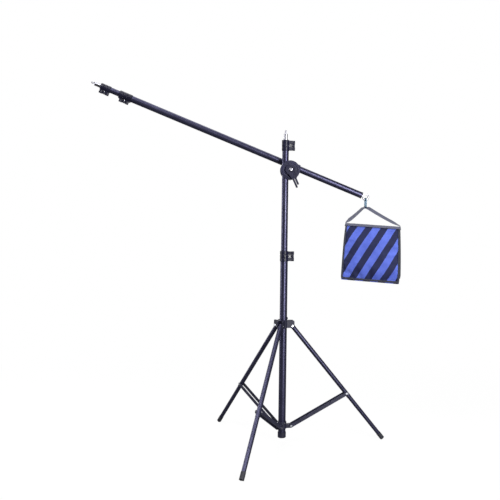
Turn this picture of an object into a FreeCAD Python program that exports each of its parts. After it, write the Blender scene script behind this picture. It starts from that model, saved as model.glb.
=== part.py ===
import FreeCAD, Part
import math
import os
from collections import namedtuple

# Three-legged aluminium light stand with a telescopic boom arm, held by a swivel clamp and
# balanced by a saddle sandbag.  Millimetres.  The origin is on the column's axis at floor
# level, +Z is up and the boom runs in a plane parallel to XZ with its lamp end towards -X.

# ---- fits shared by every sliding or turning pair ----
tube_wall = 1.2
slide_gap = 0.1
bush_wall = 0.7
tube_step = tube_wall + slide_gap + bush_wall
root_depth = 2.0

# ---- column tubes, each sliding in the one below ----
base_radius = 16.0
middle_radius = base_radius - tube_step
top_radius = middle_radius - tube_step
base_bottom_z = 38.0
base_clamp_z = 795.5
middle_overlap = 235.5
middle_rise = 476.0
top_overlap = 631.5
bush_length = 40.0

# ---- tube clamps with their turning knobs ----
clamp_height = 45.0
clamp_wall = 2.2
clamp_socket = 16.0
clamp_groove = 0.9
groove_half_width = 2.0
column_reach = 14.5
boom_reach = 4.0
rib_half_width = 7.0
rib_end_gap = 1.5
stud_radius = 3.5
stud_window = 10.0
stud_in_knob = 6.0
knob_thick = 10.0
knob_half_span = 21.5
knob_lobe = 7.5
knob_lobe_rise = 1.0
knob_waist = 5.25
knob_hub = 8.5
knob_gap = 0.6

# ---- lamp studs ----
stud_pin_radius = 8.0
stud_pin_length = 24.0
stud_cone = 4.0
stud_cone_step = 1.6
stud_thread_radius = 3.175
stud_thread_length = 12.0
stud_thread_chamfer = 1.0
stud_flange = 2.0
stud_plug_length = 22.0
stud_lift = 0.5

# ---- tripod ----
first_leg_azimuth = 5.5
leg_upper_radius = 9.65
leg_lower_radius = leg_upper_radius - 0.7
leg_bore_radius = leg_lower_radius - 1.05
leg_pivot_radius = base_radius + leg_upper_radius + 12.85
leg_pivot_z = 517.5
leg_top_past_pivot = 8.0
leg_step_past_joint = 22.0
brace_joint_along = 393.0
brace_pivot_radius = base_radius + leg_upper_radius + 12.15
brace_pivot_z = 82.0
rivet_radius = 3.0
rivet_head_radius = 5.1
rivet_head_thick = 2.0
rivet_gap = 0.05
side_gap = 0.45
foot_cap_radius = leg_lower_radius + 0.95
foot_cap_length = 30.0
foot_cap_past = 4.5
foot_wear = 1.2
foot_radius = 457.0
foot_axis_z = foot_cap_radius - foot_wear

# ---- leg collar, brace collar and bottom plug ----
collar_wall = 3.4
leg_collar_below = 9.0
leg_collar_above = 23.5
lug_plate = 3.0
lug_half_height = 8.5
lug_past_pivot = 8.5
lug_chamfer = 4.0
leg_knob_reach = 12.0
leg_boss_edge = 1.0
brace_collar_below = 10.0
brace_collar_above = 20.0
fork_cheek = 3.0
fork_before_pivot = 4.0
screw_radius = 3.0
screw_head = 1.6
screw_below_top = 5.0
strip_thick = 2.0
strip_half_width = 7.5
plug_below = 6.0
plug_height = 24.0
plug_wall = 1.8
plug_edge = 2.0

# ---- swivel head ----
head_drop = 83.5
head_disc_radius = 41.0
head_wall = 8.0
head_split = 1.0
head_face_step = 3.0
head_face_rim = 6.0
head_ring_outer = 30.0
head_ring_inner = 26.0
head_ring_depth = 2.0
liner_wall = 0.9
liner_half_height = 26.0
pivot_bolt_radius = 4.0
pivot_bolt_margin = 0.9
pivot_head_radius = 7.5
pivot_head_length = 6.0
pivot_head_dome = 2.5
pivot_pad_radius = 15.5
nut_seat_depth = 4.0
nut_seat_gap = 2.0
head_gap = 0.5
rosette_radius = 33.0
rosette_inner = 18.0
rosette_height = 2.0
rosette_teeth = 24
tooth_half_width = 1.0
tooth_height = 0.8

# ---- clamping lever, drawn pointing straight down and then leant ----
lever_hub_radius = 22.0
lever_hub_depth = 11.0
lever_plate = 8.0
lever_lean = 24.8
palm_start = 12.0
palm_end = 42.0
palm_half_start = 17.0
palm_half_end = 10.5
prong_half_width = 3.8
long_prong_side = -6.0
long_prong_end = 77.5
short_prong_side = 4.2
short_prong_end = 67.5

# ---- boom, measured along its axis from beside the pivot, positive towards the lamp ----
boom_radius = 14.0
boom_middle_radius = boom_radius - tube_step
boom_inner_radius = boom_middle_radius - tube_step
boom_slope = 21.16
boom_tail = 338.0
boom_clamp_at = 733.0
boom_clamp_height = 55.0
boom_middle_overlap = 583.0
boom_middle_rise = 94.5
boom_middle_clamp_height = 43.0
boom_inner_overlap = 567.5
boom_bush_length = 30.0
boom_clamp_wall = 4.2
boom_clamp_half_length = 38.0
boom_clamp_slit = 2.0
boom_clamp_margin = 2.8
boom_clamp_above = 7.8
cheek_back = 3.0
tail_plug_depth = 18.0
tail_flange = 2.5
tail_flange_lip = 0.8
eye_ring_radius = 12.8
eye_wire_radius = 3.2
eye_from_flange = 18.5
eye_shank_depth = 12.0

# ---- snap hook and sandbag ----
hook_wire_radius = 3.0
hook_half_width = 13.0
hook_corner = 7.0
hook_length = 42.0
hook_gap = 0.3
gate_radius = 2.4
gate_gap = 0.7
bag_shift_x = 32.5
bag_drop = 76.0
bag_width = 252.0
bag_height = 248.0
bag_pouch_depth = 50.0
bag_seam_gap = 1.2
bag_yaw = -16.0
bag_tilt = 3.4
bag_corner = 14.0
webbing_width = 25.0
webbing_thick = 1.6
webbing_bunched = 11.0
webbing_gap = 0.4
webbing_fold = 5.0
webbing_roll = 38.0
strap_inset = 8.0
strap_split = 0.05
strap_foot_lean = 0.5
strap_foot_lift = 1.0
bar_gap = 0.8

# ---- values that follow from the ones above ----
X = FreeCAD.Vector(1, 0, 0)
Y = FreeCAD.Vector(0, 1, 0)
Z = FreeCAD.Vector(0, 0, 1)
ORIGIN = FreeCAD.Vector(0, 0, 0)
LEGS = {"right": 0, "rear": 120, "front": 240}
middle_clamp_z = base_clamp_z + middle_rise
middle_bottom_z = base_clamp_z - middle_overlap
top_bottom_z = middle_clamp_z - top_overlap
stud_base_z = middle_clamp_z + clamp_height + stud_flange + stud_lift
head_z = middle_clamp_z - head_drop
leg_pivot = FreeCAD.Vector(leg_pivot_radius, 0, leg_pivot_z)
leg_end = FreeCAD.Vector(foot_radius, 0, foot_axis_z)
leg_way = (leg_end - leg_pivot).normalize()
brace_top = leg_pivot + leg_way * brace_joint_along
brace_foot = FreeCAD.Vector(brace_pivot_radius, 0, brace_pivot_z)
strip_inside = leg_upper_radius + side_gap
liner_radius = middle_radius + slide_gap + liner_wall
head_half_depth = liner_radius + head_wall
head_offset = liner_radius + slide_gap + pivot_bolt_radius + pivot_bolt_margin
boom_behind = head_half_depth + boom_radius + boom_clamp_wall + boom_clamp_margin
boom_above_pivot = boom_radius + boom_clamp_wall + boom_clamp_above
slope = math.radians(boom_slope)
tipward = FreeCAD.Vector(-math.cos(slope), 0, math.sin(slope))
boom_up = FreeCAD.Vector(math.sin(slope), 0, math.cos(slope))
pivot = FreeCAD.Vector(head_offset, 0, head_z)
boom_origin = pivot + boom_up * boom_above_pivot + Y * boom_behind
boom_middle_start = boom_clamp_at - boom_middle_overlap
boom_middle_clamp_at = boom_clamp_at + boom_middle_rise
boom_inner_start = boom_middle_clamp_at - boom_inner_overlap
boom_stud_at = boom_middle_clamp_at + boom_middle_clamp_height + stud_flange + stud_lift

os.makedirs("parts", exist_ok=True)


def save(name, *solids):
    """Write one node, as one solid or as a group of separate ones."""
    shape = solids[0] if len(solids) == 1 else Part.makeCompound(list(solids))
    shape.exportStep("parts/" + name + ".step")


def rod(radius, start, end):
    """A round bar between two points."""
    return Part.makeCylinder(radius, (end - start).Length, start, end - start)


def pipe(outer, inner, start, end):
    """A round tube between two points."""
    return rod(outer, start, end).cut(rod(inner, start, end))


def block(x, y, z):
    """A box given by its three (low, high) pairs."""
    corner = FreeCAD.Vector(x[0], y[0], z[0])
    return Part.makeBox(x[1] - x[0], y[1] - y[0], z[1] - z[0], corner)


def turned(outline):
    """A solid of revolution about Z from (radius, height) corners."""
    points = [FreeCAD.Vector(r, 0, z) for r, z in outline]
    face = Part.Face(Part.makePolygon(points + points[:1]))
    return face.revolve(ORIGIN, Z, 360)


def plate(corners, y_low, y_high):
    """A flat plate in the XZ plane, thick along Y, from its (x, z) corners."""
    points = [FreeCAD.Vector(x, y_low, z) for x, z in corners]
    face = Part.Face(Part.makePolygon(points + points[:1]))
    return face.extrude(Y * (y_high - y_low))


def disc(centre, radius, y_low, y_high):
    """A round plate standing in the XZ plane."""
    low = FreeCAD.Vector(centre.x, y_low, centre.z)
    return rod(radius, low, low + Y * (y_high - y_low))


def strip_between(start, end, half_width, y_low, y_high):
    """A flat strip with square ends whose middle line joins two points, seen along Y."""
    way = FreeCAD.Vector(end.x - start.x, 0, end.z - start.z).normalize()
    side = FreeCAD.Vector(-way.z, 0, way.x) * half_width
    points = (start + side, end + side, end - side, start - side)
    return plate([(p.x, p.z) for p in points], y_low, y_high)


def link(start, end, half_width, y_low, y_high):
    """A flat strip with round ends between two points of the XZ plane."""
    ends = [disc(p, half_width, y_low, y_high) for p in (start, end)]
    return fused(strip_between(start, end, half_width, y_low, y_high), *ends)


def fused(first, *others):
    """One solid from pieces that touch or cross."""
    return first.fuse(list(others)).removeSplitter()


def axes(origin, along, side):
    """The placement whose Z runs along the first direction and X along the second."""
    rotation = FreeCAD.Rotation(side, along.cross(side), along, "ZXY")
    return FreeCAD.Placement(origin, rotation)


def at(placement, shape):
    """A copy of a shape built in a local frame, put in its place."""
    copy = shape.copy()
    copy.Placement = placement.multiply(copy.Placement)
    return copy


# ---- tube clamps: local Z is the tubes' axis towards the thinner tube, X the knob's side ----
Clamp = namedtuple("Clamp", "frame outer inner height reach")


def clamp_body(seat):
    """Moulded collar: a socket for the wide tube, a guide for the thin one, two knob ribs."""
    radius = seat.outer + clamp_wall
    waist = radius - clamp_groove
    outline = [(0, 0), (waist, 0), (radius, clamp_groove)]
    for groove in (seat.height / 3, seat.height * 2 / 3):
        outline += [(radius, groove - groove_half_width)]
        outline += [(waist, groove - groove_half_width / 2)]
        outline += [(waist, groove + groove_half_width / 2)]
        outline += [(radius, groove + groove_half_width)]
    outline += [(radius, seat.height - clamp_groove), (waist, seat.height), (0, seat.height)]
    reach = (0, seat.outer + seat.reach)
    width = (-rib_half_width, rib_half_width)
    middle = seat.height / 2
    low = block(reach, width, (rib_end_gap, middle - stud_window / 2))
    high = block(reach, width, (middle + stud_window / 2, seat.height - rib_end_gap))
    body = fused(turned(outline), low, high)
    socket = rod(seat.outer, ORIGIN, Z * clamp_socket)
    guide = rod(seat.inner + slide_gap, ORIGIN, Z * seat.height)
    hole = rod(stud_radius + slide_gap, Z * middle, Z * middle + X * 2 * radius)
    return at(seat.frame, body.cut(socket).cut(guide).cut(hole))


def knob_start(seat):
    """Distance from the tube's axis to the inner face of the knob."""
    return seat.outer + seat.reach + knob_gap


def clamp_knob(seat):
    """Two-lobed knob whose bar lies along the tube when it is tight."""
    near = knob_start(seat)
    far = near + knob_thick
    middle = Z * (seat.height / 2)
    lobe = Z * (knob_half_span - knob_lobe)
    height = (middle.z - lobe.z, middle.z + lobe.z)
    bar = block((near, far), (-knob_waist, knob_waist), height)
    pieces = [rod(knob_hub, middle + X * near, middle + X * far)]
    for centre in (middle - lobe, middle + lobe):
        pieces.append(rod(knob_lobe, centre + X * near, centre + X * (far + knob_lobe_rise)))
    hole = rod(stud_radius, middle + X * near, middle + X * (near + stud_in_knob))
    return at(seat.frame, fused(bar, *pieces).cut(hole))


def clamp_stud(seat):
    """Plated screw from the knob to the thin tube."""
    middle = Z * (seat.height / 2)
    start = middle + X * (seat.inner + slide_gap / 2)
    end = middle + X * (knob_start(seat) + stud_in_knob)
    return at(seat.frame, rod(stud_radius, start, end))


def save_clamp(name, seat):
    save(name, clamp_body(seat))
    save(name + "_knob", clamp_knob(seat))
    save(name + "_stud", clamp_stud(seat))


def lamp_stud(tube_radius):
    """Plated stud with a plug for the tube below it, base of the pin at the local origin."""
    plug = tube_radius - tube_wall
    plug_end = -stud_flange - stud_plug_length
    cone_top = stud_pin_length + stud_cone
    tip = cone_top + stud_thread_length
    outline = [(0, plug_end), (plug, plug_end), (plug, -stud_flange)]
    outline += [(tube_radius, -stud_flange), (tube_radius, 0), (stud_pin_radius, 0)]
    outline += [(stud_pin_radius, stud_pin_length)]
    outline += [(stud_thread_radius + stud_cone_step, cone_top), (stud_thread_radius, cone_top)]
    outline += [(stud_thread_radius, tip - stud_thread_chamfer)]
    outline += [(stud_thread_radius - stud_thread_chamfer, tip), (0, tip)]
    return turned(outline)


def guide_bush(tube_radius, outside_radius, start, end):
    """Plastic ring on the lower end of a sliding tube."""
    return pipe(outside_radius - tube_wall - slide_gap, tube_radius, start, end)


def open_tube(radius, start, end):
    """A drawn tube of the stand's usual wall."""
    return pipe(radius, radius - tube_wall, start, end)


# ---- column ----
base_frame = axes(Z * base_clamp_z, Z, X)
middle_frame = axes(Z * middle_clamp_z, Z, X)
base_seat = Clamp(base_frame, base_radius, middle_radius, clamp_height, column_reach)
middle_seat = Clamp(middle_frame, middle_radius, top_radius, clamp_height, column_reach)


def column():
    base_end = Z * (base_clamp_z + clamp_socket)
    save("base_tube", open_tube(base_radius, Z * base_bottom_z, base_end))
    middle_low = Z * middle_bottom_z
    middle_end = Z * (middle_clamp_z + clamp_socket)
    save("middle_tube", open_tube(middle_radius, middle_low, middle_end))
    bush = guide_bush(middle_radius, base_radius, middle_low, middle_low + Z * bush_length)
    save("middle_tube_bush", bush)
    top_low = Z * top_bottom_z
    save("top_tube", open_tube(top_radius, top_low, Z * (stud_base_z - stud_flange)))
    bush = guide_bush(top_radius, middle_radius, top_low, top_low + Z * bush_length)
    save("top_tube_bush", bush)
    save("column_stud", at(axes(Z * stud_base_z, Z, X), lamp_stud(top_radius)))
    save_clamp("base_clamp", base_seat)
    save_clamp("middle_clamp", middle_seat)
    low = base_bottom_z - plug_below
    high = low + plug_height
    outer = base_radius + plug_wall
    rim = [(outer - plug_edge, low), (outer, low + plug_edge), (outer, high)]
    plug = turned([(0, low)] + rim + [(0, high)])
    save("bottom_plug", plug.cut(rod(base_radius, Z * base_bottom_z, Z * high)))


# ---- tripod: each leg is built in the XZ plane and turned to its azimuth ----
def turn(angle):
    """The placement that swings the XZ plane to a leg, or between two legs."""
    return FreeCAD.Placement(ORIGIN, FreeCAD.Rotation(Z, first_leg_azimuth + angle))


def both_sides(y_low, y_high):
    """The (low, high) pairs of two plates, one on each side of the XZ plane."""
    return ((y_low, y_high), (-y_high, -y_low))


def lug(low, high, y_low, y_high):
    """One cheek of the leg collar, its outer corners cut off."""
    end = leg_pivot_radius + lug_past_pivot
    root = base_radius - root_depth
    corners = [(root, low), (end - lug_chamfer, low), (end, low + lug_chamfer)]
    corners += [(end, high - lug_chamfer), (end - lug_chamfer, high), (root, high)]
    hole = disc(leg_pivot, rivet_radius, y_low, y_high)
    return plate(corners, y_low, y_high).cut(hole)


def leg_collar():
    low = leg_pivot_z - leg_collar_below
    high = leg_pivot_z + leg_collar_above
    pieces = []
    for angle in LEGS.values():
        for y_low, y_high in both_sides(strip_inside, strip_inside + lug_plate):
            pieces.append(at(turn(angle), lug(low, high, y_low, y_high)))
    boss_z = high - lug_half_height - leg_boss_edge
    boss_place = turn(60).multiply(FreeCAD.Placement(Z * boss_z, FreeCAD.Rotation()))
    boss_end = X * (base_radius + leg_knob_reach)
    pieces.append(at(boss_place, rod(lug_half_height, X * base_radius, boss_end)))
    body = fused(rod(base_radius + collar_wall, Z * low, Z * high), *pieces)
    hole = rod(stud_radius + slide_gap, X * base_radius, boss_end)
    body = body.cut(rod(base_radius + slide_gap, Z * low, Z * high))
    save("leg_collar", body.cut(at(boss_place, hole)))
    lowered = FreeCAD.Placement(Z * (-clamp_height / 2), FreeCAD.Rotation())
    frame = boss_place.multiply(lowered)
    seat = Clamp(frame, base_radius, base_radius, clamp_height, leg_knob_reach)
    save("leg_collar_knob", clamp_knob(seat))
    save("leg_collar_stud", clamp_stud(seat))
    pin = rivet(leg_pivot, strip_inside + lug_plate)
    save("leg_rivets", *[at(turn(angle), pin) for angle in LEGS.values()])


def rivet(centre, half_grip):
    """A domed pin through two plates and what is between them."""
    end = half_grip + rivet_head_thick
    pin = disc(centre, rivet_radius, -end, end)
    sides = both_sides(half_grip, end)
    return fused(pin, *[disc(centre, rivet_head_radius, low, high) for low, high in sides])


def brace_collar():
    low = brace_pivot_z - brace_collar_below
    high = brace_pivot_z + brace_collar_above
    height = (brace_pivot_z - lug_half_height, brace_pivot_z + lug_half_height)
    half = leg_upper_radius
    eye = disc(brace_foot, lug_half_height, -half, half)
    web = block((base_radius - root_depth, brace_pivot_radius), (-half, half), height)
    slot_start = brace_pivot_radius - fork_before_pivot
    slot_end = brace_pivot_radius + 2 * lug_half_height
    slot_half = half - fork_cheek
    slot = block((slot_start, slot_end), (-slot_half, slot_half), height)
    fork = fused(web, eye).cut(slot).cut(disc(brace_foot, rivet_radius, -half, half))
    forks = [at(turn(angle), fork) for angle in LEGS.values()]
    body = fused(rod(base_radius + collar_wall, Z * low, Z * high), *forks)
    save("brace_collar", body.cut(rod(base_radius, Z * low, Z * high)))
    near = Z * (high - screw_below_top) + X * (base_radius + collar_wall)
    screw = rod(screw_radius, near, near + X * screw_head)
    save("brace_collar_screws", *[at(turn(angle + 60), screw) for angle in LEGS.values()])


def leg():
    """A stepped tube with a hole for each of its two rivets."""
    start = leg_pivot - leg_way * leg_top_past_pivot
    step = brace_top + leg_way * leg_step_past_joint
    tube = fused(rod(leg_upper_radius, start, step), rod(leg_lower_radius, step, leg_end))
    tube = tube.cut(rod(leg_bore_radius, start, leg_end))
    across = 2 * leg_upper_radius
    for centre in (leg_pivot, brace_top):
        tube = tube.cut(disc(centre, rivet_radius + rivet_gap, -across, across))
    return tube


def foot_cap():
    """A soft cap on the leg's end, flat where it meets the floor."""
    start = leg_end - leg_way * (foot_cap_length - foot_cap_past)
    cap = rod(foot_cap_radius, start, leg_end + leg_way * foot_cap_past)
    cap = cap.cut(rod(leg_lower_radius, start, leg_end))
    side = 2 * foot_cap_radius
    return cap.cut(block((0, 2 * foot_radius), (-side, side), (-side, 0)))


def leg_and_brace(name, angle):
    place = turn(angle)
    save("leg_" + name, at(place, leg()))
    save("foot_" + name, at(place, foot_cap()))
    strips = []
    studs = []
    outside = strip_inside + strip_thick
    heads = both_sides(outside, outside + rivet_head_thick)
    for strip_y, head_y in zip(both_sides(strip_inside, outside), heads):
        strip = link(brace_top, brace_foot, strip_half_width, *strip_y)
        for centre in (brace_top, brace_foot):
            strip = strip.cut(disc(centre, rivet_radius, *strip_y))
        strips.append(at(place, strip))
        shank = disc(brace_foot, rivet_radius, *strip_y)
        studs.append(at(place, fused(shank, disc(brace_foot, rivet_head_radius, *head_y))))
    save("brace_" + name, *strips)
    save("brace_rivets_" + name, at(place, rivet(brace_top, outside)), *studs)


# ---- swivel head ----
def head():
    low = Z * (head_z - liner_half_height)
    high = Z * (head_z + liner_half_height)
    save("head_liner", pipe(liner_radius, middle_radius + slide_gap, low, high))
    bore = rod(liner_radius + slide_gap, Z * (head_z - 2 * head_disc_radius), Z * (2 * head_z))
    bolt_hole = disc(pivot, pivot_bolt_radius, -2 * head_half_depth, 2 * head_half_depth)

    step = -head_half_depth + head_face_step
    front = disc(pivot, head_disc_radius, step, -head_split / 2)
    face = disc(pivot, head_disc_radius - head_face_rim, -head_half_depth, step)
    ring_back = -head_half_depth + head_ring_depth
    ring = disc(pivot, head_ring_outer, -head_half_depth, ring_back)
    ring = ring.cut(disc(pivot, head_ring_inner, -head_half_depth, ring_back))
    save("head_front_shell", fused(front, face).cut(bore).cut(bolt_hole).cut(ring))

    rosette_base = head_half_depth - head_face_step
    rear = disc(pivot, head_disc_radius, head_split / 2, rosette_base)
    rosette = disc(pivot, rosette_radius, rosette_base, rosette_base + rosette_height)
    teeth = []
    for number in range(rosette_teeth):
        rotation = FreeCAD.Rotation(Y, number * 360 / rosette_teeth)
        teeth.append(at(FreeCAD.Placement(pivot, rotation), tooth(rosette_base)))
    save("head_rear_shell", fused(rear, rosette, *teeth).cut(bore).cut(bolt_hole))

    bolt_front = -head_half_depth - lever_hub_depth - pivot_head_length
    bolt_rear = boom_behind + boom_radius + boom_clamp_wall + pivot_head_length
    dome_back = bolt_front + pivot_head_length - head_gap
    dome = disc(pivot, pivot_head_radius, bolt_front, dome_back)
    rim = [edge for edge in dome.Edges if lies_at(edge, bolt_front)]
    dome = dome.makeFillet(pivot_head_dome, rim)
    shaft = disc(pivot, pivot_bolt_radius, dome_back, bolt_rear)
    save("pivot_bolt", fused(shaft, dome))
    nut_front = bolt_rear - pivot_head_length + head_gap
    nut = hexagon(pivot, pivot_head_radius, nut_front, bolt_rear)
    save("pivot_nut", nut.cut(disc(pivot, pivot_bolt_radius, nut_front, bolt_rear)))
    save("head_lever", head_lever())


def lies_at(edge, y):
    """Whether a whole edge lies in the plane at this y."""
    box = edge.BoundBox
    return max(abs(box.YMin - y), abs(box.YMax - y)) < slide_gap


def tooth(rosette_base):
    """One radial tooth of the rear rosette, in a frame centred on the pivot."""
    face = rosette_base + rosette_height
    radial = (rosette_inner, rosette_radius - tooth_half_width)
    across = (-tooth_half_width, tooth_half_width)
    return block(radial, (face - tooth_height, face + tooth_height), across)


def hexagon(centre, radius, y_low, y_high):
    """A six-sided nut blank."""
    corners = []
    for side in range(6):
        angle = math.radians(60 * side)
        corners.append((centre.x + radius * math.cos(angle), centre.z + radius * math.sin(angle)))
    return plate(corners, y_low, y_high)


def head_lever():
    """Cast clamping lever: a hub on the bolt and a forked handle pointing down."""
    rear = -head_half_depth - head_gap
    front = -head_half_depth - lever_hub_depth
    handle_rear = front + lever_plate
    hub = disc(ORIGIN, lever_hub_radius, front, rear)
    corners = [(-palm_half_start, -palm_start), (palm_half_start, -palm_start)]
    corners += [(palm_half_end, -palm_end), (-palm_half_end, -palm_end)]
    palm = plate(corners, front, handle_rear)
    prongs = []
    ends = ((long_prong_side, long_prong_end), (short_prong_side, short_prong_end))
    for side, end in ends:
        root = FreeCAD.Vector(side, 0, prong_half_width - palm_end)
        tip = FreeCAD.Vector(side, 0, -end)
        prongs.append(link(root, tip, prong_half_width, front, handle_rear))
    lever = fused(hub, palm, *prongs)
    well = disc(ORIGIN, pivot_head_radius + head_ring_depth, front, front + head_ring_depth)
    hole = disc(ORIGIN, pivot_bolt_radius + slide_gap, front, rear)
    leant = FreeCAD.Placement(pivot, FreeCAD.Rotation(Y, -lever_lean))
    return at(leant, lever.cut(well).cut(hole))


# ---- boom: local Z of every boom frame runs along its axis towards the lamp ----
def boom_point(along):
    return boom_origin + tipward * along


def boom_frame(along):
    return axes(boom_point(along), tipward, boom_up * -1)


boom_seat = Clamp(
    boom_frame(boom_clamp_at), boom_radius, boom_middle_radius, boom_clamp_height, boom_reach
)
boom_middle_seat = Clamp(
    boom_frame(boom_middle_clamp_at),
    boom_middle_radius,
    boom_inner_radius,
    boom_middle_clamp_height,
    boom_reach,
)


def boom_clamp():
    """Split block behind the head: the pivot bolt closes it on the boom."""
    near = head_half_depth + head_gap
    far = boom_behind + boom_radius + boom_clamp_wall
    pad_far = far - nut_seat_gap
    half = boom_clamp_half_length
    sleeve = rod(boom_radius + boom_clamp_wall, boom_point(-half), boom_point(half))
    slit_y = (boom_behind - boom_clamp_slit / 2, boom_behind + boom_clamp_slit / 2)
    cheek = disc(pivot, rosette_radius, near, slit_y[0] - cheek_back)
    back = disc(pivot, pivot_pad_radius, slit_y[0], pad_far)
    filler = strip_between(pivot, boom_point(0), pivot_pad_radius, near, pad_far)
    body = fused(sleeve, cheek, back, filler)
    bore = rod(boom_radius + slide_gap, boom_point(-2 * half), boom_point(2 * half))
    below = pivot - boom_up * rosette_radius
    slit = strip_between(below, boom_point(0), 2 * half, *slit_y)
    nut_seat = disc(pivot, pivot_head_radius + nut_seat_gap, far - nut_seat_depth, far)
    bolt_hole = disc(pivot, pivot_bolt_radius + slide_gap, near, far)
    save("boom_clamp", body.cut(bore).cut(slit).cut(nut_seat).cut(bolt_hole))


def boom():
    tail = boom_point(-boom_tail)
    outer_end = boom_point(boom_clamp_at + clamp_socket)
    save("boom_tube", open_tube(boom_radius, tail, outer_end))
    bush_reach = tipward * boom_bush_length
    low = boom_point(boom_middle_start)
    middle_end = boom_point(boom_middle_clamp_at + clamp_socket)
    save("boom_middle_tube", open_tube(boom_middle_radius, low, middle_end))
    bush = guide_bush(boom_middle_radius, boom_radius, low, low + bush_reach)
    save("boom_middle_bush", bush)
    low = boom_point(boom_inner_start)
    inner_end = boom_point(boom_stud_at - stud_flange)
    save("boom_inner_tube", open_tube(boom_inner_radius, low, inner_end))
    bush = guide_bush(boom_inner_radius, boom_middle_radius, low, low + bush_reach)
    save("boom_inner_bush", bush)
    save("boom_stud", at(boom_frame(boom_stud_at), lamp_stud(boom_inner_radius)))
    save_clamp("boom_tube_clamp", boom_seat)
    save_clamp("boom_middle_clamp", boom_middle_seat)

    flange_end = tail - tipward * tail_flange
    shank_end = tail + tipward * eye_shank_depth
    plug = rod(boom_radius - tube_wall, tail, tail + tipward * tail_plug_depth)
    plug = fused(plug, rod(boom_radius + tail_flange_lip, flange_end, tail))
    save("boom_tail_plug", plug.cut(rod(eye_wire_radius, flange_end, shank_end)))
    ring = Part.makeTorus(eye_ring_radius, eye_wire_radius, eye_centre, Y)
    shank = rod(eye_wire_radius, eye_centre + tipward * eye_ring_radius, shank_end)
    save("tail_eye", fused(ring, shank))


# ---- snap hook and sandbag ----
eye_centre = boom_point(-boom_tail - tail_flange - eye_from_flange)
hook_top = eye_centre + Z * (eye_wire_radius + hook_wire_radius + hook_gap - eye_ring_radius)
hook_bottom = hook_top - Z * hook_length


def wire_bend(side, corner_z, start):
    """A quarter turn of the hook's wire, standing in the YZ plane."""
    bend = Part.makeTorus(hook_corner, hook_wire_radius, ORIGIN, Z, -180, 180, 90)
    bend = at(FreeCAD.Placement(ORIGIN, FreeCAD.Rotation(Z, start)), bend)
    middle = hook_top + Y * side * (hook_half_width - hook_corner)
    middle.z = corner_z
    return at(FreeCAD.Placement(middle, FreeCAD.Rotation(Y, Z, X, "ZXY")), bend)


def hook():
    """A steel snap hook standing edge-on: a rounded loop of wire with a sprung gate."""
    low_corner = hook_bottom.z + hook_corner
    high_corner = hook_top.z - hook_corner
    wire = []
    for side, high_start, low_start in ((1, 0, 270), (-1, 90, 180)):
        reach = Y * side * (hook_half_width - hook_corner)
        wire.append(rod(hook_wire_radius, hook_top, hook_top + reach))
        wire.append(rod(hook_wire_radius, hook_bottom, hook_bottom + reach))
        wire.append(wire_bend(side, high_corner, high_start))
        wire.append(wire_bend(side, low_corner, low_start))
    spine = FreeCAD.Vector(hook_top.x, hook_top.y - hook_half_width, 0)
    wire.append(rod(hook_wire_radius, spine + Z * low_corner, spine + Z * high_corner))
    save("hook", fused(*wire))
    gate = FreeCAD.Vector(hook_top.x, hook_top.y + hook_half_width, 0)
    gate_low = gate + Z * (low_corner + gate_gap)
    save("hook_gate", rod(gate_radius, gate_low, gate + Z * (high_corner - gate_gap)))


bag_middle = hook_bottom + X * bag_shift_x - Z * bag_drop
bag_turn = FreeCAD.Rotation(Z, bag_yaw).multiply(FreeCAD.Rotation(Y, bag_tilt))
bag_frame = FreeCAD.Placement(bag_middle, bag_turn)


def pouch(y_low, y_high):
    """A filled cushion hanging from the fold, its corners rounded."""
    half = bag_width / 2
    body = block((-half, half), (y_low, y_high), (-bag_height, 0))
    return body.makeFillet(bag_corner, body.Edges)


def bag():
    for name, y_pair in zip(("front", "rear"), both_sides(-bag_pouch_depth, -bag_seam_gap)):
        save("bag_" + name + "_pouch", at(bag_frame, pouch(*y_pair)))
    half = bag_width / 2
    depth = bag_pouch_depth / 2
    fold = block((-half, half), (-depth, depth), (webbing_gap, webbing_gap + webbing_thick))
    save("bag_fold", at(bag_frame, fold))
    save("bag_strap_left", strap(-1))
    save("bag_strap_right", strap(1))


def strap(side):
    """Half of the webbing handle, from over the hook's lower bar to a corner of the fold."""
    outward = X * side
    bunch = Y * (webbing_bunched / 2)
    bar = hook_wire_radius + bar_gap
    crown = section(hook_bottom + Z * bar + outward * strap_split, bunch, Z * webbing_fold)
    shoulder = hook_bottom + outward * 2 * bar - Z * strap_foot_lift
    knee = section(shoulder, bunch, Z * webbing_fold + outward)
    roll = math.radians(webbing_roll)
    rise = webbing_width / 2 * math.sin(roll)
    depth = webbing_width / 2 * math.cos(roll)
    corner = X * side * (bag_width / 2 - strap_inset) + Z * (webbing_gap + webbing_thick)
    landing = bag_frame.multVec(corner) + Z * (rise + strap_foot_lift)
    foot_fold = Z * webbing_thick + outward * strap_foot_lean
    foot = section(landing, Y * depth - Z * rise, foot_fold)
    top = Part.makeLoft([crown, knee], True, True)
    return fused(top, Part.makeLoft([knee, foot], True, True))


def section(centre, half_width, thickness):
    """The cross-section of a strap: a closed four-cornered wire."""
    low = centre - half_width
    high = centre + half_width
    return Part.makePolygon([low, high, high + thickness, low + thickness, low])


column()
leg_collar()
brace_collar()
for leg_name, leg_angle in LEGS.items():
    leg_and_brace(leg_name, leg_angle)
head()
boom_clamp()
boom()
hook()
bag()
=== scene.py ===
import math

import bmesh
import bpy
from mathutils import Matrix, Vector, noise


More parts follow.
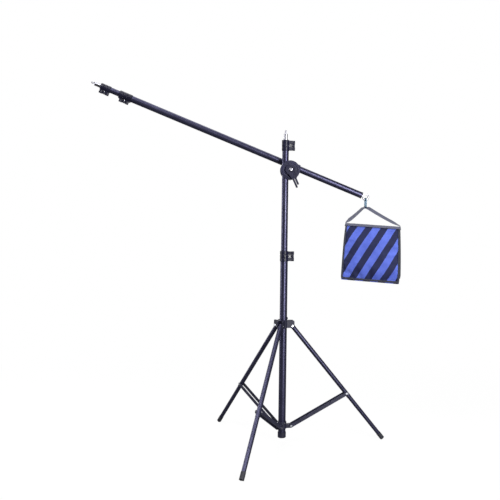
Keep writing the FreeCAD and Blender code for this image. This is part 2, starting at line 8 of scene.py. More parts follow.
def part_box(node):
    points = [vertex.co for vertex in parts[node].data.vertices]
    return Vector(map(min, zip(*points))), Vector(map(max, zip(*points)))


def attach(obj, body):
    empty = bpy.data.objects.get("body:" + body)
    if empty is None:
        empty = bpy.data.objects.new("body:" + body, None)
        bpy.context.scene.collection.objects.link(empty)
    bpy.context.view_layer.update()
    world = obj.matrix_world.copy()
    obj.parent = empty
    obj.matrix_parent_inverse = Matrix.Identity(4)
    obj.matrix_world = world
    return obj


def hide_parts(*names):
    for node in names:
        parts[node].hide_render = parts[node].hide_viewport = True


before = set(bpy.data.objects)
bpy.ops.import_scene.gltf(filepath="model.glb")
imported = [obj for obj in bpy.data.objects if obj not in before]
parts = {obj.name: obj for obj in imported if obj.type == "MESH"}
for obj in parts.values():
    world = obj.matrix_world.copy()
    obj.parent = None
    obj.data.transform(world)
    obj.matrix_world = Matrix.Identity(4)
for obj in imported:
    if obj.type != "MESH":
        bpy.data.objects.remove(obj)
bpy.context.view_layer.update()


# ---- Column, legs and boom tubes ----------------------------------------------------------
# Drawn aluminium tube in three sizes that slide in each other, dyed black and lacquered to a
# satin gloss with a violet cast. The draw lines run along each tube under the lacquer, and
# the sliding tubes carry faint rubbed streaks.

def new_finish(name, colour, roughness, metallic=0.0):
    """A material with one plain principled surface, ready for its details."""
    finish = bpy.data.materials.new(name)
    finish.use_nodes = True
    surface = finish.node_tree.nodes["Principled BSDF"]
    surface.inputs["Base Color"].default_value = (*colour, 1)
    surface.inputs["Roughness"].default_value = roughness
    surface.inputs["Metallic"].default_value = metallic
    return finish


def node(finish, kind, inputs, output=0, **settings):
    """Add one shader node, set or link its inputs, and return the wanted output socket."""
    made = finish.node_tree.nodes.new("ShaderNode" + kind)
    for key, value in settings.items():
        setattr(made, key, value)
    for key, value in inputs.items():
        if isinstance(value, bpy.types.NodeSocket):
            finish.node_tree.links.new(value, made.inputs[key])
        else:
            made.inputs[key].default_value = value
    return made.outputs[output]


def surface_input(finish, key, value):
    """Feed one input of a finish's surface from a socket, or set it to a number."""
    wanted = finish.node_tree.nodes["Principled BSDF"].inputs[key]
    if isinstance(value, bpy.types.NodeSocket):
        finish.node_tree.links.new(value, wanted)
    else:
        wanted.default_value = value


def colour_between(finish, amount, first, second):
    """Mix two colours, each a tuple or a socket, by an amount from 0 to 1."""
    mixed = finish.node_tree.nodes.new("ShaderNodeMix")
    mixed.data_type = "RGBA"
    finish.node_tree.links.new(amount, mixed.inputs[0])
    for place, colour in ((6, first), (7, second)):
        if isinstance(colour, tuple):
            mixed.inputs[place].default_value = (*colour, 1)
        else:
            finish.node_tree.links.new(colour, mixed.inputs[place])
    return mixed.outputs[2]


def spread(finish, value, low, high, to_low=0.0, to_high=1.0):
    """Map a value from one range to another, clamped."""
    inputs = {"Value": value, 1: low, 2: high, 3: to_low, 4: to_high}
    return node(finish, "MapRange", inputs)


def bump(finish, height, strength, distance, under=None):
    inputs = {"Height": height, "Strength": strength, "Distance": distance}
    if under is not None:
        inputs["Normal"] = under
    return node(finish, "Bump", inputs)


def dress(finish, *names):
    """Give a finish to CAD nodes."""
    for name in names:
        for place in parts[name].material_slots:
            place.material = finish


def drawn_tube(name, along, rubbed):
    """Black lacquered aluminium whose draw lines run along one direction."""
    finish = new_finish(name, (0.03, 0.029, 0.06), 0.3, 0.72)
    turn = Vector(along).rotation_difference(Vector((0, 0, 1))).to_euler()
    place = node(finish, "TexCoord", {}, "Object")
    upright = node(finish, "Mapping", {"Vector": place, "Rotation": turn})
    drawn = node(finish, "Mapping", {"Vector": upright, "Scale": (1, 1, 0.012)})
    lines = node(finish, "TexNoise", {"Vector": drawn, "Scale": 1500, "Detail": 3})
    patches = node(finish, "TexNoise", {"Vector": upright, "Scale": 14, "Detail": 5})
    streaks = node(finish, "TexNoise", {"Vector": drawn, "Scale": 260, "Detail": 2})
    grain = node(finish, "TexNoise", {"Vector": upright, "Scale": 2400, "Detail": 2})
    worn = spread(finish, streaks, 0.66 - 0.06 * rubbed, 0.76, 0, 0.5 * rubbed)
    lacquer = colour_between(
        finish, spread(finish, patches, 0.3, 0.7), (0.034, 0.033, 0.07), (0.05, 0.049, 0.095)
    )
    tinted = colour_between(finish, worn, lacquer, (0.16, 0.16, 0.21))
    surface_input(finish, "Base Color", tinted)
    base_rough = spread(finish, patches, 0.3, 0.7, 0.27, 0.35)
    rough = node(finish, "Math", {0: lines, 1: 0.10, 2: base_rough}, operation="MULTIPLY_ADD")
    surface_input(finish, "Roughness", rough)
    relief = bump(finish, lines, 0.10, 0.00012)
    surface_input(finish, "Normal", bump(finish, grain, 0.12, 0.00006, relief))
    return finish


column_finish = drawn_tube("column_tube_lacquer", (0, 0, 1), 0.25)
dress(column_finish, "base_tube")
dress(drawn_tube("sliding_tube_lacquer", (0, 0, 1), 1.0), "middle_tube", "top_tube")
boom_slope = math.radians(21.16)
boom_way = Vector((-math.cos(boom_slope), 0, math.sin(boom_slope)))
dress(drawn_tube("boom_tube_lacquer", boom_way, 0.35), "boom_tube")
dress(drawn_tube("boom_sliding_lacquer", boom_way, 1.0), "boom_middle_tube", "boom_inner_tube")
leg_slope = math.radians(39.438)
leg_azimuths = {"right": 5.5, "rear": 125.5, "front": 245.5}
for leg_name, azimuth in leg_azimuths.items():
    outward = Vector((math.cos(math.radians(azimuth)), math.sin(math.radians(azimuth)), 0))
    leg_way = outward * math.sin(leg_slope) - Vector((0, 0, math.cos(leg_slope)))
    dress(drawn_tube("leg_lacquer_" + leg_name, leg_way, 0.5), "leg_" + leg_name)


# ---- Clamps, collars and knobs ------------------------------------------------------------
# Glass-filled nylon, moulded black with a fine spark-eroded grain. The clamps are pressed on
# the tube ends, the knobs are moulded round the heads of their plated screws, and handling
# has polished their edges a little.

def rounded(finish, radius):
    """The surface direction with its sharp edges eased, and how near an edge it is."""
    eased = node(finish, "Bevel", {"Radius": radius}, samples=6)
    true = node(finish, "NewGeometry", {}, "Normal")
    facing = node(finish, "VectorMath", {0: eased, 1: true}, "Value", operation="DOT_PRODUCT")
    return eased, spread(finish, facing, 0.97, 0.80)


def moulded(name, colour, worn_colour, roughness, edge, grain_scale):
    finish = new_finish(name, colour, roughness)
    place = node(finish, "TexCoord", {}, "Object")
    grain = node(finish, "TexNoise", {"Vector": place, "Scale": grain_scale, "Detail": 4})
    patches = node(finish, "TexNoise", {"Vector": place, "Scale": 45, "Detail": 4})
    normal, near_edge = rounded(finish, edge)
    touched = node(finish, "Math", {0: near_edge, 1: patches}, operation="MULTIPLY")
    flow = colour_between(
        finish, spread(finish, patches, 0.35, 0.7), colour, tuple(1.5 * c for c in colour)
    )
    surface_input(finish, "Base Color", colour_between(finish, touched, flow, worn_colour))
    surface_input(
        finish, "Roughness", spread(finish, patches, 0.3, 0.75, roughness - 0.06, roughness + 0.08)
    )
    surface_input(finish, "Normal", bump(finish, grain, 0.28, 0.00016, normal))
    surface_input(finish, "Specular IOR Level", 0.28)
    return finish


nylon_black = moulded(
    "moulded_nylon_black", (0.008, 0.008, 0.020), (0.05, 0.05, 0.08), 0.30, 0.0010, 1700
)
clamp_names = ["base_clamp", "middle_clamp", "boom_tube_clamp", "boom_middle_clamp"]
knob_names = [name + "_knob" for name in clamp_names + ["leg_collar"]]
dress(nylon_black, *clamp_names, *knob_names)
collar_black = moulded(
    "collar_nylon_black", (0.014, 0.014, 0.028), (0.05, 0.05, 0.08), 0.48, 0.0007, 1200
)
dress(collar_black, "leg_collar", "brace_collar", "boom_tail_plug", "bottom_plug")
guide_grey = moulded("guide_nylon_grey", (0.42, 0.42, 0.45), (0.5, 0.5, 0.52), 0.5, 0.0003, 900)
bush_names = ["middle_tube_bush", "top_tube_bush", "boom_middle_bush", "boom_inner_bush"]
dress(guide_grey, *bush_names, "head_liner")


# ---- Plated screws, lamp studs, rivets and the tail ring ----------------------------------
# Turned and formed steel with bright nickel-chrome plate. The lamp studs keep the fine rings
# of the lathe tool and end in a rolled thread, 1.27 mm to the turn.

def plated(name, colour, low_rough, high_rough):
    finish = new_finish(name, colour, low_rough, 1.0)
    place = node(finish, "TexCoord", {}, "Object")
    cloud = node(finish, "TexNoise", {"Vector": place, "Scale": 90, "Detail": 5})
    rings = node(finish, "Mapping", {"Vector": place, "Scale": (1, 1, 14)})
    turned = node(finish, "TexNoise", {"Vector": rings, "Scale": 260, "Detail": 2})
    surface_input(finish, "Roughness", spread(finish, cloud, 0.3, 0.75, low_rough, high_rough))
    dull = tuple(0.72 * c for c in colour)
    shade = colour_between(finish, spread(finish, cloud, 0.45, 0.9), colour, dull)
    surface_input(finish, "Base Color", shade)
    normal, near_edge = rounded(finish, 0.0004)
    surface_input(finish, "Normal", bump(finish, turned, 0.10, 0.00008, normal))
    return finish


bright_plate = plated("nickel_chrome_plate", (0.42, 0.42, 0.47), 0.20, 0.34)
screw_names = [name + "_stud" for name in clamp_names + ["leg_collar"]]
dress(bright_plate, *screw_names, "column_stud", "boom_stud", "tail_eye", "pivot_bolt", "pivot_nut")
zinc_plate = plated("zinc_plate", (0.42, 0.43, 0.47), 0.24, 0.42)
rivet_names = ["brace_rivets_" + leg_name for leg_name in leg_azimuths]
dress(zinc_plate, "leg_rivets", "brace_collar_screws", *rivet_names)

thread_radius = 0.003175
ridge_height = 0.00052
ridge_sunk = 0.0002
ridge_half = 0.00048
ridge_tip_half = 0.00008
thread_pitch = 0.00127
thread_turns = 8
thread_start = 0.0285
steps_per_turn = 20


def as_piece(name, shape, finish, body, slot, *stands_for):
    """Make a finished bmesh into an object that rides on a body."""
    mesh = bpy.data.meshes.new(name)
    shape.to_mesh(mesh)
    shape.free()
    mesh.materials.append(finish)
    for face in mesh.polygons:
        face.use_smooth = True
    piece = bpy.data.objects.new(name, mesh)
    bpy.context.scene.collection.objects.link(piece)
    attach(piece, body)
    if stands_for:
        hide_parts(*stands_for)
    return piece


def rolled_thread(name, base, way, body):
    """A ridge wound round the end of a lamp stud whose pin starts at the base point."""
    shape = bmesh.new()
    corners = [(-ridge_sunk, -ridge_half), (ridge_height, -ridge_tip_half)]
    corners += [(ridge_height, ridge_tip_half), (-ridge_sunk, ridge_half)]
    ring = [shape.verts.new((thread_radius + r, 0, thread_start + z)) for r, z in corners]
    face = shape.faces.new(ring)
    bmesh.ops.spin(
        shape,
        geom=[face],
        cent=(0, 0, 0),
        axis=(0, 0, 1),
        dvec=(0, 0, thread_pitch / steps_per_turn),
        angle=2 * math.pi * thread_turns,
        steps=steps_per_turn * thread_turns,
    )
    bmesh.ops.recalc_face_normals(shape, faces=shape.faces)
    stand = Vector((0, 0, 1)).rotation_difference(way).to_matrix().to_4x4()
    bmesh.ops.transform(shape, matrix=Matrix.Translation(base) @ stand, verts=shape.verts)
    return as_piece(name, shape, bright_plate, body, "chrome")


boom_start = Vector((0.02939, 0.044, 1.21225))
boom_stud_base = boom_start + boom_way * 0.873
rolled_thread("column_stud_thread", Vector((0, 0, 1.319)), Vector((0, 0, 1)), "top_section")
rolled_thread("boom_stud_thread", boom_stud_base, boom_way, "boom_inner")


# ---- Swivel head, clamping lever and boom clamp -------------------------------------------
# Two aluminium castings face to face round the column, a rosette behind them and a split
# block that the bolt closes on the boom. Sprayed black over a sandy casting skin, thicker in
# the corners and thin on the edges.

def cast_black(name, colour, roughness):
    finish = new_finish(name, colour, roughness)
    place = node(finish, "TexCoord", {}, "Object")
    skin = node(finish, "TexNoise", {"Vector": place, "Scale": 620, "Detail": 4, "Roughness": 0.6})
    pits = node(finish, "TexVoronoi", {"Vector": place, "Scale": 900})
    patches = node(finish, "TexNoise", {"Vector": place, "Scale": 30, "Detail": 5})
    normal, near_edge = rounded(finish, 0.0011)
    thin = node(finish, "Math", {0: near_edge, 1: patches}, operation="MULTIPLY")
    paint = colour_between(
        finish, spread(finish, patches, 0.35, 0.7), colour, tuple(1.6 * c for c in colour)
    )
    surface_input(finish, "Base Color", colour_between(finish, thin, paint, (0.12, 0.12, 0.16)))
    surface_input(
        finish, "Roughness", spread(finish, patches, 0.3, 0.75, roughness - 0.05, roughness + 0.1)
    )
    relief = bump(finish, skin, 0.35, 0.00035, normal)
    surface_input(finish, "Normal", bump(finish, pits, 0.12, 0.0001, relief))
    surface_input(finish, "Specular IOR Level", 0.14)
    return finish


dress(
    cast_black("head_casting_black", (0.012, 0.012, 0.034), 0.34),
    "head_front_shell", "head_rear_shell", "boom_clamp",
)
dress(cast_black("lever_casting_black", (0.008, 0.008, 0.022), 0.28), "head_lever")


# ---- Braces and foot caps -----------------------------------------------------------------
# The brace strips are blanked from 2 mm steel and powder coated. The foot caps are soft black
# rubber pushed on the leg ends, scuffed grey and dusty where they meet the floor.

dress(
    moulded("brace_powder_coat", (0.018, 0.018, 0.036), (0.08, 0.08, 0.11), 0.34, 0.0006, 2300),
    *["brace_" + leg_name for leg_name in leg_azimuths],
)
rubber = new_finish("foot_rubber", (0.02, 0.02, 0.028), 0.7)
place = node(rubber, "TexCoord", {}, "Object")
height = node(rubber, "SeparateXYZ", {"Vector": place}, "Z")
dust_noise = node(rubber, "TexNoise", {"Vector": place, "Scale": 420, "Detail": 5})
near_floor = spread(rubber, height, 0.006, 0.0)
dusty = node(rubber, "Math", {0: near_floor, 1: dust_noise}, operation="MULTIPLY")
dusted = colour_between(rubber, dusty, (0.018, 0.018, 0.027), (0.11, 0.105, 0.1))
surface_input(rubber, "Base Color", dusted)
surface_input(rubber, "Roughness", spread(rubber, dust_noise, 0.3, 0.7, 0.58, 0.8))
rubber_normal = rounded(rubber, 0.0012)[0]
surface_input(rubber, "Normal", bump(rubber, dust_noise, 0.3, 0.0002, rubber_normal))
dress(rubber, *["foot_" + leg_name for leg_name in leg_azimuths])


# ---- Snap hook ----------------------------------------------------------------------------
# Bent from 6 mm steel wire, electroplated blue-grey, with a sprung wire gate. It hangs from
# the ring at the boom's tail and carries the bag's handle on its lower bar.

hook_plate = plated("hook_blue_zinc", (0.08, 0.15, 0.22), 0.26, 0.42)
dress(hook_plate, "hook", "hook_gate")


# ---- Sandbag pouches ----------------------------------------------------------------------
# Two flat pouches of coated polyester in broad diagonal stripes, each two panels sewn round
# their edges and filled loosely with sand. They hang back to back from one fold, fuller
# towards the bottom, and pucker along their bound edges.

hook_low, hook_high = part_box("hook")
bar_axis = Vector(((hook_low.x + hook_high.x) / 2, (hook_low.y + hook_high.y) / 2, hook_low.z + 0.003))
fold_middle = bar_axis + Vector((0.0325, 0, -0.076))
bag_place = (
    Matrix.Translation(fold_middle)
    @ Matrix.Rotation(math.radians(-16), 4, "Z")
    @ Matrix.Rotation(math.radians(3.4), 4, "Y")
)
pouch_top = -0.003
pouches = {"front": (-1, 0.243), "rear": (1, 0.222)}
stripe_period = 0.0585
stripe_start = 0.0060
stripe_slope = math.radians(60.6)
settling_steps = 20


def half_width(down):
    """Half the pouch's width at a depth from 0 at its top to 1 at its bottom."""
    return 0.1198 + 0.0080 * down + 0.0060 * down * (1 - down)


def hang(point, side):
    """Move a flat pouch's point out to its side of the fold, and fill it towards the bottom."""
    fall = min(max(-point.z / 0.075, 0), 1)
    fall = fall * fall * (3 - 2 * fall)
    fuller = 0.72 + 0.5 * min(max(-point.z / 0.24, 0), 1)
    bulge = max(-0.0225, min(0.0225, point.y * (0.35 + 0.65 * fall) * fuller))
    drift = 0.0030 - 0.024 * point.z if side < 0 else 0.0032 - 0.044 * point.z
    return Vector((point.x + drift, side * (0.0125 + 0.0125 * fall) + bulge, point.z))


def striped_cloth():
    """Blue and navy woven polyester with a fine plain weave and a dull coating."""
    finish = new_finish("striped_bag_cloth", (0.1, 0.15, 0.7), 0.7)
    sewn = node(finish, "UVMap", {}, uv_map="cloth")
    across = node(finish, "SeparateXYZ", {"Vector": sewn}, "X")
    along = node(finish, "SeparateXYZ", {"Vector": sewn}, "Y")
    lean = node(finish, "Math", {0: along, 1: -math.cos(stripe_slope)}, operation="MULTIPLY")
    slant = {0: across, 1: math.sin(stripe_slope), 2: lean}
    phase = node(finish, "Math", slant, operation="MULTIPLY_ADD")
    phase = node(finish, "Math", {0: phase, 1: stripe_start}, operation="SUBTRACT")
    phase = node(finish, "Math", {0: phase, 1: 1 / stripe_period}, operation="MULTIPLY")
    turn = node(finish, "Math", {0: phase}, operation="FRACT")
    fray = node(finish, "TexNoise", {"Vector": sewn, "Scale": 700, "Detail": 2})
    turn = node(finish, "Math", {0: fray, 1: 0.012, 2: turn}, operation="MULTIPLY_ADD")
    upper = spread(finish, turn, 0.523, 0.535)
    lower = spread(finish, turn, 0.012, 0.0)
    navy_share = node(finish, "Math", {0: upper, 1: lower}, operation="MAXIMUM")
    patches = node(finish, "TexNoise", {"Vector": sewn, "Scale": 22, "Detail": 5})
    blue = colour_between(
        finish, spread(finish, patches, 0.35, 0.68), (0.072, 0.112, 0.50), (0.108, 0.158, 0.62)
    )
    navy = colour_between(
        finish, spread(finish, patches, 0.35, 0.68), (0.009, 0.011, 0.048), (0.014, 0.018, 0.064)
    )
    colour = colour_between(finish, navy_share, blue, navy)
    warp = node(finish, "TexWave", {"Vector": sewn, "Scale": 220, "Distortion": 0.3}, "Fac",
                wave_type="BANDS", bands_direction="X")
    weft = node(finish, "TexWave", {"Vector": sewn, "Scale": 220, "Distortion": 0.3}, "Fac",
                wave_type="BANDS", bands_direction="Y")
    weave = node(finish, "Math", {0: warp, 1: weft}, operation="MULTIPLY")
    shadowed = colour_between(
        finish, spread(finish, weave, 0.0, 0.5, 0.22, 0.0), colour, (0.01, 0.013, 0.05)
    )
    surface_input(finish, "Base Color", shadowed)
    creases = node(finish, "TexNoise", {"Vector": sewn, "Scale": 38, "Detail": 6, "Roughness": 0.55})
    surface_input(finish, "Roughness", spread(finish, patches, 0.3, 0.7, 0.62, 0.78))
    relief = bump(finish, creases, 0.35, 0.0022)
    surface_input(finish, "Normal", bump(finish, weave, 0.35, 0.00025, relief))
    surface_input(finish, "Specular IOR Level", 0.2)
    surface_input(finish, "Sheen Weight", 0.05)
    surface_input(finish, "Sheen Roughness", 0.45)
    return finish


cloth = striped_cloth()


def sewn_pouch(depth, seed):
    """Two flat panels joined all round, as a thin closed shell in the bag's own frame."""
    panel = bmesh.new()
    bmesh.ops.create_grid(panel, x_segments=44, y_segments=44, size=0.5)
    for corner in panel.verts:
        down = 0.5 - corner.co.y
        corner.co = (2 * corner.co.x * half_width(down), 0, pouch_top - down * depth)
    bmesh.ops.solidify(panel, geom=panel.faces[:], thickness=0.007)
    middle = sum(corner.co.y for corner in panel.verts) / len(panel.verts)
    lines = panel.loops.layers.uv.new("cloth")
    for corner in panel.verts:
        corner.co.y -= middle
        corner.co.y += 0.0006 * noise.noise(Vector((corner.co.x * 30, corner.co.z * 30, seed)))
    for face in panel.faces:
        for loop in face.loops:
            loop[lines].uv = (loop.vert.co.x, loop.vert.co.z)
    bmesh.ops.recalc_face_normals(panel, faces=panel.faces)
    return panel


def fill_with_sand(piece, depth):
    """Blow the sewn shell up against its seams, and keep the shape it settles into."""
    seam = piece.vertex_groups.new(name="seam")
    for corner in piece.data.vertices:
        down = (pouch_top - corner.co.z) / depth
        off_side = half_width(down) - abs(corner.co.x)
        off_end = min(down, 1 - down) * depth
        if min(off_side, off_end) < 0.002:
            seam.add([corner.index], 1.0, "REPLACE")
    sand = piece.modifiers.new("sand", "CLOTH")
    sand.settings.quality = 6
    sand.settings.mass = 0.3
    sand.settings.tension_stiffness = 18
    sand.settings.compression_stiffness = 12
    sand.settings.shear_stiffness = 6
    sand.settings.bending_stiffness = 0.6
    sand.settings.shrink_min = -0.035
    sand.settings.use_pressure = True
    sand.settings.uniform_pressure_force = 4
    sand.settings.vertex_group_mass = "seam"
    sand.settings.effector_weights.gravity = 0
    sand.point_cache.frame_end = settling_steps
    for step in range(1, settling_steps + 1):
        bpy.context.scene.frame_set(step)
    settled = bpy.data.meshes.new_from_object(
        piece.evaluated_get(bpy.context.evaluated_depsgraph_get())
    )
    piece.modifiers.remove(sand)
    piece.data = settled
    bpy.context.scene.frame_set(1)


for pouch_side, (side, depth) in pouches.items():
    pouch_name = "bag_" + pouch_side + "_pouch"
    shape = sewn_pouch(depth, side * 3.7)
    mesh = bpy.data.meshes.new(pouch_name + "_cloth")
    shape.to_mesh(mesh)
    shape.free()
    pouch = bpy.data.objects.new(pouch_name + "_cloth", mesh)
    bpy.context.scene.collection.objects.link(pouch)
    fill_with_sand(pouch, depth)
    for corner in pouch.data.vertices:
        corner.co = bag_place @ hang(corner.co, side)
    pouch.data.materials.append(cloth)
    for face in pouch.data.polygons:
        face.use_smooth = True
    softened = pouch.modifiers.new("softened", "SUBSURF")
    softened.levels = softened.render_levels = 1
    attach(pouch, "bag")
    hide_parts(pouch_name)


# ---- Bag binding and its stitching --------------------------------------------------------
# Black grosgrain tape folded over each pouch's raw edges, down one side, along the bottom and
# up the other, and held by a single row of lock stitches near its inner edge.

def ribbed_tape(name, colour, rib, roughness):
    """Woven tape with cords along it and fine cross ribs, with painted shade between them."""
    finish = new_finish(name, colour, roughness)
    woven = node(finish, "UVMap", {}, uv_map="tape")
    ribs = node(finish, "TexWave", {"Vector": woven, "Scale": rib, "Distortion": 0.4}, "Fac",
                wave_type="BANDS", bands_direction="X")
    cords = node(finish, "TexWave", {"Vector": woven, "Scale": rib * 0.6, "Distortion": 0.2}, "Fac",
                 wave_type="BANDS", bands_direction="Y")
    cloud = node(finish, "TexNoise", {"Vector": woven, "Scale": 60, "Detail": 5})
    weave = node(finish, "Math", {0: ribs, 1: cords}, operation="MULTIPLY")
    rib_gap_painted_shade, dull, light = (tuple(share * c for c in colour) for share in (0.35, 0.8, 1.3))
    base = colour_between(finish, spread(finish, cloud, 0.3, 0.7), dull, light)
    # Painted shade: the colour is darkened in the gaps between the ribs and cords, where shade falls.
    shade = colour_between(finish, spread(finish, weave, 0, 0.5, 0.45, 0), base, rib_gap_painted_shade)
    surface_input(finish, "Base Color", shade)
    rough = spread(finish, cloud, 0.3, 0.7, roughness - 0.08, roughness + 0.08)
    surface_input(finish, "Roughness", rough)
    surface_input(finish, "Normal", bump(finish, weave, 0.5, 0.0004))
    surface_input(finish, "Sheen Weight", 0.2)
    return finish


def laid_band(name, steps, strands, size, lay, thickness, finish, body, slot, *stands_for):
    """A band of cloth from a flat grid, each point laid where a function of its place says."""
    shape = bmesh.new()
    bmesh.ops.create_grid(shape, x_segments=steps, y_segments=strands, size=0.5)
    woven = shape.loops.layers.uv.new("tape")
    for face in shape.faces:
        for loop in face.loops:
            flat = loop.vert.co
            loop[woven].uv = ((flat.x + 0.5) * size[0], flat.y * size[1])
    for corner in shape.verts:
        corner.co = lay(corner.co.x + 0.5, corner.co.y * 2)
    band = as_piece(name, shape, finish, body, slot, *stands_for)
    cloth_wall = band.modifiers.new("cloth_wall", "SOLIDIFY")
    cloth_wall.thickness = thickness
    cloth_wall.offset = 0
    rounded_off = band.modifiers.new("rounded_off", "SUBSURF")
    rounded_off.levels = rounded_off.render_levels = 1
    return band


binding_black = ribbed_tape("binding_tape_black", (0.012, 0.014, 0.03), 300, 0.72)
thread_navy = new_finish("stitch_thread", (0.05, 0.055, 0.11), 0.55)
thread_place = node(thread_navy, "TexCoord", {}, "Object")
thread_twist = node(thread_navy, "TexNoise", {"Vector": thread_place, "Scale": 2500, "Detail": 2})
surface_input(thread_navy, "Base Color", colour_between(
    thread_navy, spread(thread_navy, thread_twist, 0.35, 0.65), (0.04, 0.045, 0.10), (0.085, 0.09, 0.15)
))
surface_input(thread_navy, "Normal", bump(thread_navy, thread_twist, 0.4, 0.0002))
binding_width = 0.0085
binding_flat_width = 0.024
binding_bottom = 0.246
binding_lift = 0.0052
stitch_pitch = 0.0046
stitch_inset = 0.0026
stitch_lift = 0.0057
stitch_size = (0.0031, 0.0007, 0.0009, 1)
corner_round = 0.007


def edge_walk(share, depth):
    """A point on a pouch's side, bottom and other side, and the way in from it."""
    low_half = half_width(1)
    length = 2 * depth + 2 * low_half
    gone = share * length
    if gone < depth:
        down = gone / depth
        point = Vector((-half_width(down), 0, pouch_top - gone))
        inward = Vector((1, 0, 0))
    elif gone < depth + 2 * low_half:
        point = Vector((-low_half + gone - depth, 0, pouch_top - depth))
        inward = Vector((0, 0, 1))
    else:
        up = length - gone
        point = Vector((half_width(up / depth), 0, pouch_top - up))
        inward = Vector((-1, 0, 0))
    from_side = low_half - abs(point.x)
    from_bottom = point.z - (pouch_top - depth)
    if from_side < corner_round and from_bottom < corner_round:
        side = math.copysign(1, point.x)
        centre = Vector((side * (low_half - corner_round), 0, pouch_top - depth + corner_round))
        outward = (point - centre).normalized()
        point = centre + outward * corner_round
        inward = -outward
    return point, inward


for pouch_name, (side, depth) in pouches.items():
    def lay_binding(share, across, side=side, depth=depth):
        point, inward = edge_walk(share, depth)
        wrap = abs(across)
        reach = binding_width * max(0, (wrap - 0.3) / 0.7) - 0.0008
        lift = binding_lift * min(1, wrap / 0.3)
        point = point + inward * reach
        point = hang(Vector((point.x, 0, point.z)), side)
        point.y += math.copysign(lift, across)
        return bag_place @ point

    length = 2 * depth + binding_bottom
    laid_band("bag_binding_" + pouch_name, 150, 10, (length, binding_flat_width), lay_binding, 0.0007,
              binding_black, "bag", "webbing")
    stitches = bmesh.new()
    count = int(length / stitch_pitch)
    for number in range(count):
        share = (number + 0.5) / count
        point, inward = edge_walk(share, depth)
        point = hang(point + inward * (binding_width - stitch_inset), side)
        heading = Vector((inward.z, 0, -inward.x))
        turn = Vector((1, 0, 0)).rotation_difference(heading).to_matrix().to_4x4()
        for face_side in (-1, 1):
            seat = Matrix.Translation(point + Vector((0, face_side * stitch_lift, 0)))
            size = Matrix.Diagonal(stitch_size)
            bmesh.ops.create_icosphere(
                stitches, subdivisions=1, radius=0.5, matrix=bag_place @ seat @ turn @ size
            )
    as_piece("bag_stitches_" + pouch_name, stitches, thread_navy, "bag", "webbing")


# ---- Bag fold and handle ------------------------------------------------------------------
# Grey polypropylene webbing: one width sewn along the fold that joins the pouches, and a
# 25 mm handle from end to end of it, bunched over the hook's bar and opening flat to its ends.

webbing_grey = ribbed_tape("webbing_grey", (0.075, 0.078, 0.125), 190, 0.62)
fold_half = 0.1205
fold_centre = 0.0026
fold_girth = 0.0275
fold_cut = 0.055
top_half = 0.014
shoulder_run = 0.008
shoulder_radius = 0.0055
fold_rise = 0.0012


def lay_fold(share, across):
    """The fold's cross-section: down the front, over the top and down the rear."""
    x = fold_centre + (2 * share - 1) * fold_half
    girth = abs(across) * fold_girth
    past_top = girth - top_half
    past_shoulder = past_top - shoulder_run
    side = math.copysign(1, across)
    if past_top < 0:
        y, z = girth, fold_rise
    elif past_shoulder < 0:
        angle = past_top / shoulder_run * math.pi / 2
        y = top_half + shoulder_radius * math.sin(angle)
        z = fold_rise - shoulder_radius * (1 - math.cos(angle))
    else:
        y = top_half + shoulder_radius + 0.05 * past_shoulder
        z = fold_rise - shoulder_radius - past_shoulder
    ripple = 0.0006 * noise.noise(Vector((x * 25, side * 2, z * 40)))
    return bag_place @ Vector((x, side * y, z + ripple * 0.6))


laid_band("bag_fold_webbing", 60, 24, (2 * fold_half, fold_cut), lay_fold, 0.0014,
          webbing_grey, "bag", "webbing", "bag_fold")

handle_half = 0.0125
handle_length = 0.31
crown = bar_axis + Vector((0, 0, 0.0075))
over_bar = 0.06
sewn_from = 0.9
corner_out, corner_rise = 0.1205, 0.0045
sewn_out, sewn_drop = 0.1240, 0.0125


def lay_handle(share, across):
    """The handle's path: up one end of the fold, over the hook's bar, and down the other."""
    side = -1 if share < 0.5 else 1
    part = abs(2 * share - 1)
    corner = bag_place @ Vector((fold_centre + side * corner_out, 0, corner_rise))
    sewn_end = bag_place @ Vector((fold_centre + side * sewn_out, 0, -sewn_drop))
    start = crown + Vector((side * 0.0072, 0, -0.0040))
    if part < over_bar:
        angle = part / over_bar * math.radians(56)
        centre = crown + Vector((side * 0.0087 * math.sin(angle), 0, -0.009 * (1 - math.cos(angle))))
    elif part < sewn_from:
        run = (part - over_bar) / (sewn_from - over_bar)
        centre = start.lerp(corner, run) - Vector((0, 0, 0.003 * math.sin(math.pi * run)))
    else:
        centre = corner.lerp(sewn_end, (part - sewn_from) / (1 - sewn_from))
    opened = min(max((part - 0.01) / 0.09, 0), 1)
    settled = min(max((part - 0.72) / 0.2, 0), 1)
    lean = 18 + 30 * part if side < 0 else 44 - 18 * part
    roll = math.radians(lean) * opened * (1 - 0.8 * settled)
    way = Vector((side, 0, -0.6)).normalized()
    sideways = Vector((0, 1, 0)).lerp(bag_place.to_3x3() @ Vector((0, 1, 0)), part)
    under = way.cross(sideways).normalized()
    if under.z > 0:
        under = -under
    flat = (sideways * math.cos(roll) - under * math.sin(roll)).normalized()
    half = handle_half * (0.72 + 0.28 * opened)
    crease = (1 - opened) * 0.0115
    return centre + flat * across * half + under * crease * across * across


laid_band("bag_handle_webbing", 90, 10, (handle_length, 2 * handle_half), lay_handle, 0.0017,
          webbing_grey, "bag", "webbing", "bag_strap_left", "bag_strap_right")


# ---- Floor, light and camera --------------------------------------------------------------
# A plain white floor that runs into a white surround, lit by large soft sources, and a camera
# at standing height in front of the stand.

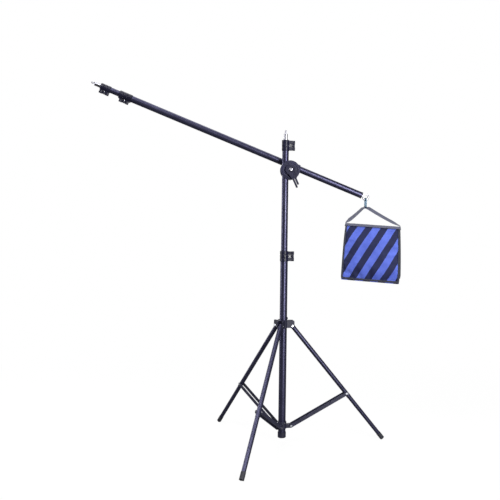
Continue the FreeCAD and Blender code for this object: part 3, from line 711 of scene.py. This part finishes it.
floor_shape = bmesh.new()
bmesh.ops.create_circle(floor_shape, cap_ends=True, segments=96, radius=30)
floor_mesh = bpy.data.meshes.new("floor")
floor_shape.to_mesh(floor_mesh)
floor_shape.free()
floor = bpy.data.objects.new("floor", floor_mesh)
bpy.context.scene.collection.objects.link(floor)
floor_white = new_finish("floor_white", (0.93, 0.93, 0.93), 0.85)
floor_place = node(floor_white, "TexCoord", {}, "Object")
from_stand = node(floor_white, "VectorMath", {0: floor_place}, "Value", operation="LENGTH")
away = spread(floor_white, from_stand, 0.5, 2.4, 0.93, 1.0)
looked_at = node(floor_white, "LightPath", {}, "Is Camera Ray")
shine = spread(floor_white, looked_at, 0, 1, 0.10, 1.0)
glow = node(floor_white, "Emission", {"Color": (1, 1, 1, 1), "Strength": shine})
matt = floor_white.node_tree.nodes["Principled BSDF"].outputs[0]
both = node(floor_white, "MixShader", {0: away, 1: matt, 2: glow})
floor_output = floor_white.node_tree.nodes["Material Output"]
floor_white.node_tree.links.new(both, floor_output.inputs["Surface"])
floor_mesh.materials.append(floor_white)

surround = bpy.data.worlds.new("surround")
surround.use_nodes = True
sky = surround.node_tree.nodes["Background"]
sky.inputs["Color"].default_value = (1, 1, 1, 1)
sky.inputs["Strength"].default_value = 0.09
seen = surround.node_tree.nodes.new("ShaderNodeBackground")
seen.inputs["Color"].default_value = (1, 1, 1, 1)
seen.inputs["Strength"].default_value = 1.0
ray = surround.node_tree.nodes.new("ShaderNodeLightPath")
choice = surround.node_tree.nodes.new("ShaderNodeMixShader")
links = surround.node_tree.links
links.new(ray.outputs["Is Camera Ray"], choice.inputs[0])
links.new(sky.outputs[0], choice.inputs[1])
links.new(seen.outputs[0], choice.inputs[2])
links.new(choice.outputs[0], surround.node_tree.nodes["World Output"].inputs["Surface"])
bpy.context.scene.world = surround
bpy.context.scene.view_settings.view_transform = "Standard"
bpy.context.scene.view_settings.look = "None"


def softbox(name, place, target, width, height, energy):
    light = bpy.data.lights.new(name, "AREA")
    light.shape = "RECTANGLE"
    light.size = width
    light.size_y = height
    light.energy = energy
    lamp = bpy.data.objects.new(name, light)
    bpy.context.scene.collection.objects.link(lamp)
    lamp.location = place
    facing = Vector(target) - Vector(place)
    lamp.rotation_euler = facing.to_track_quat("-Z", "Y").to_euler()
    return lamp


softbox("key_left", (-1.5, -2.3, 3.9), (0.1, 0, 0.9), 1.8, 1.8, 88)
softbox("strip_right", (1.15, -2.75, 1.2), (0.0, 0, 0.9), 0.7, 2.6, 125)
softbox("edge_left", (-3.0, 0.9, 1.4), (0, 0, 0.9), 0.8, 2.6, 60)
softbox("top", (0, 0.5, 3.6), (0, 0, 0), 2.4, 2.4, 45)
softbox("back", (0.8, 3.2, 1.8), (0, 0, 0.9), 2.0, 2.0, 30)

camera_data = bpy.data.cameras.new("camera")
camera_data.lens = 47.77
camera_data.sensor_width = 36
camera_data.shift_x = -0.0891
camera_data.shift_y = -0.0035
camera = bpy.data.objects.new("camera", camera_data)
bpy.context.scene.collection.objects.link(camera)
camera_place = Vector((-0.29924, -2.84704, 0.90887))
looking = Vector((0.119905, 0.992592, -0.019617)).normalized()
level = looking.cross(Vector((0, 0, 1))).normalized()
up = level.cross(looking)
camera_roll = 0.0139
side_way = level * math.cos(camera_roll) + up * math.sin(camera_roll)
up_way = up * math.cos(camera_roll) - level * math.sin(camera_roll)
camera.matrix_world = Matrix.Translation(camera_place) @ Matrix(
    (side_way, up_way, -looking)
).transposed().to_4x4()
bpy.context.scene.camera = camera
